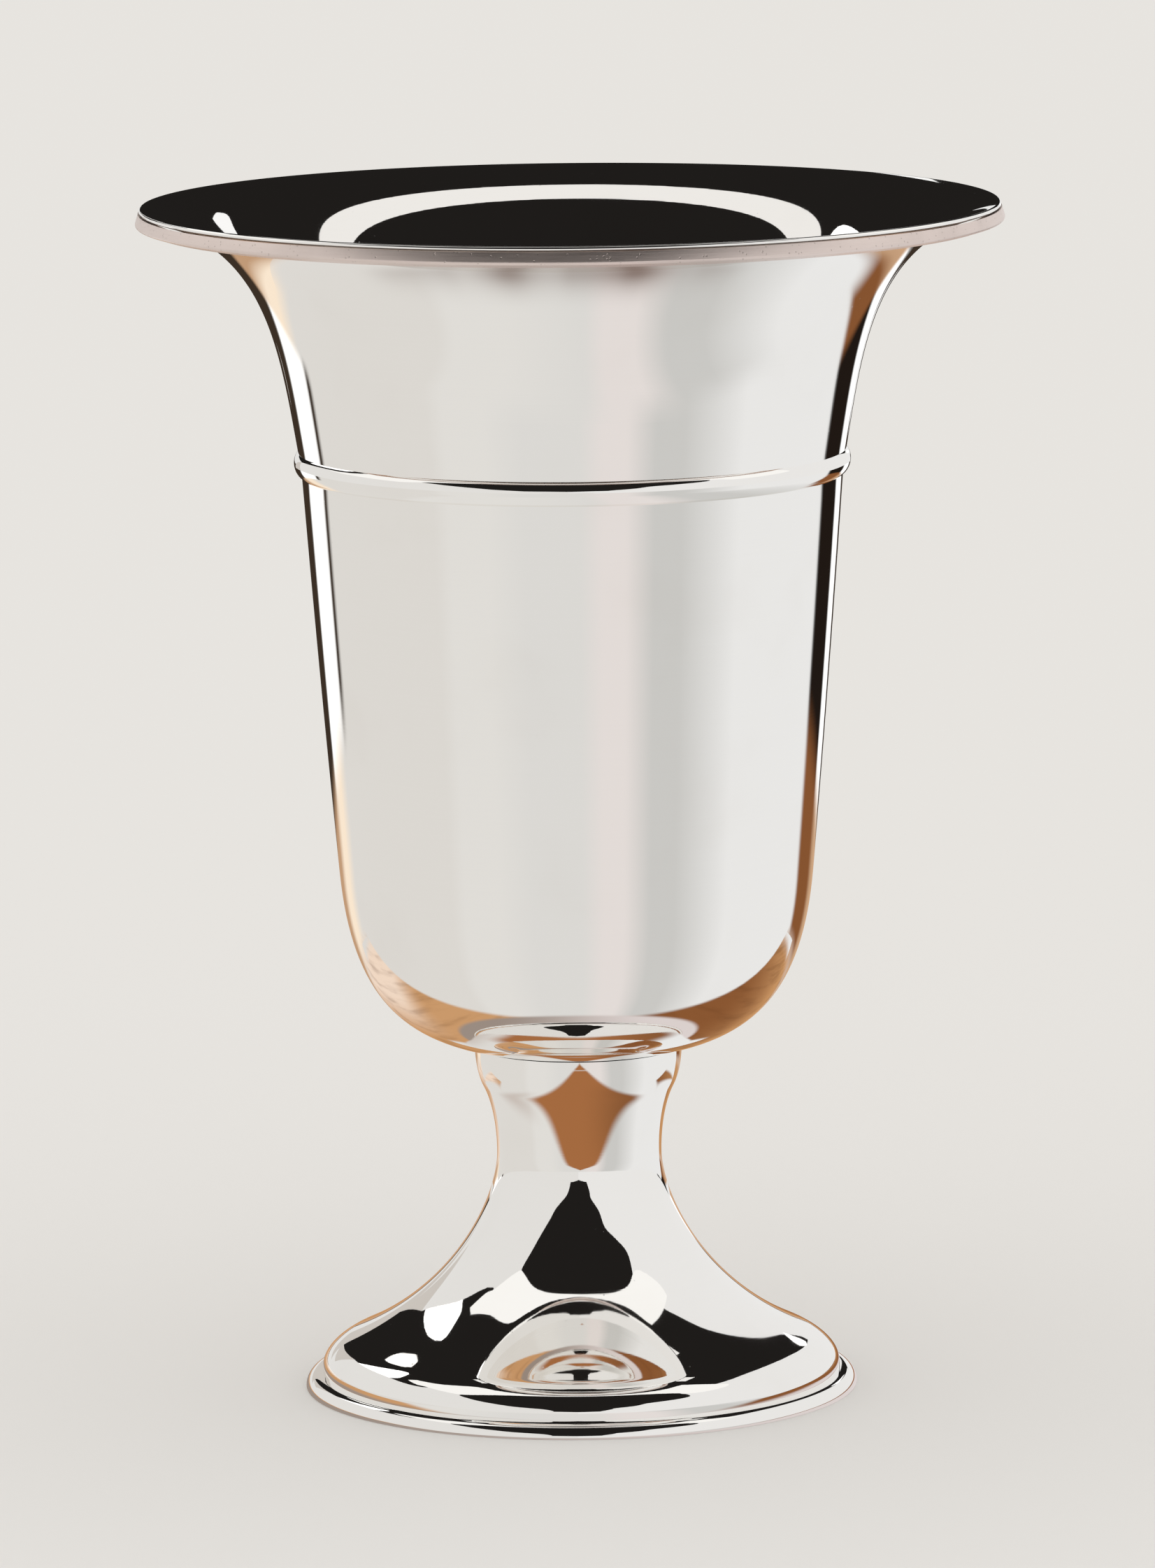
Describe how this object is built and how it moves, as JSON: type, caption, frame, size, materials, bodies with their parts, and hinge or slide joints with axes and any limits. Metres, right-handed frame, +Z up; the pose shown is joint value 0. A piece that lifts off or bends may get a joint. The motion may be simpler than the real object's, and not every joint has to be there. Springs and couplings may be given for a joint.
{
  "type": "trophy cup",
  "caption": "Footed trophy cup in polished silver plate, with a flared mouth, a bead round the wall and a hollow bell-shaped foot.",
  "frame": {"origin": "on the table at the centre of the foot", "axes": "+Z up along the cup's axis, towards the mouth; the cup is round, so X and Y are free"},
  "size_m": [0.182, 0.182, 0.2516],
  "materials": {
    "polished_silver": "mirror-polished silver plate, slightly warm, with faint polishing marks",
    "satin_silver": "satin silver plate, slightly pink, with tiny pits and scratches"
  },
  "bodies": {
    "root": {"bowl": "polished_silver", "bead": "polished_silver", "pedestal": "polished_silver", "foot_wire": "polished_silver", "rim_band": "satin_silver"}
  },
  "joints": []
}
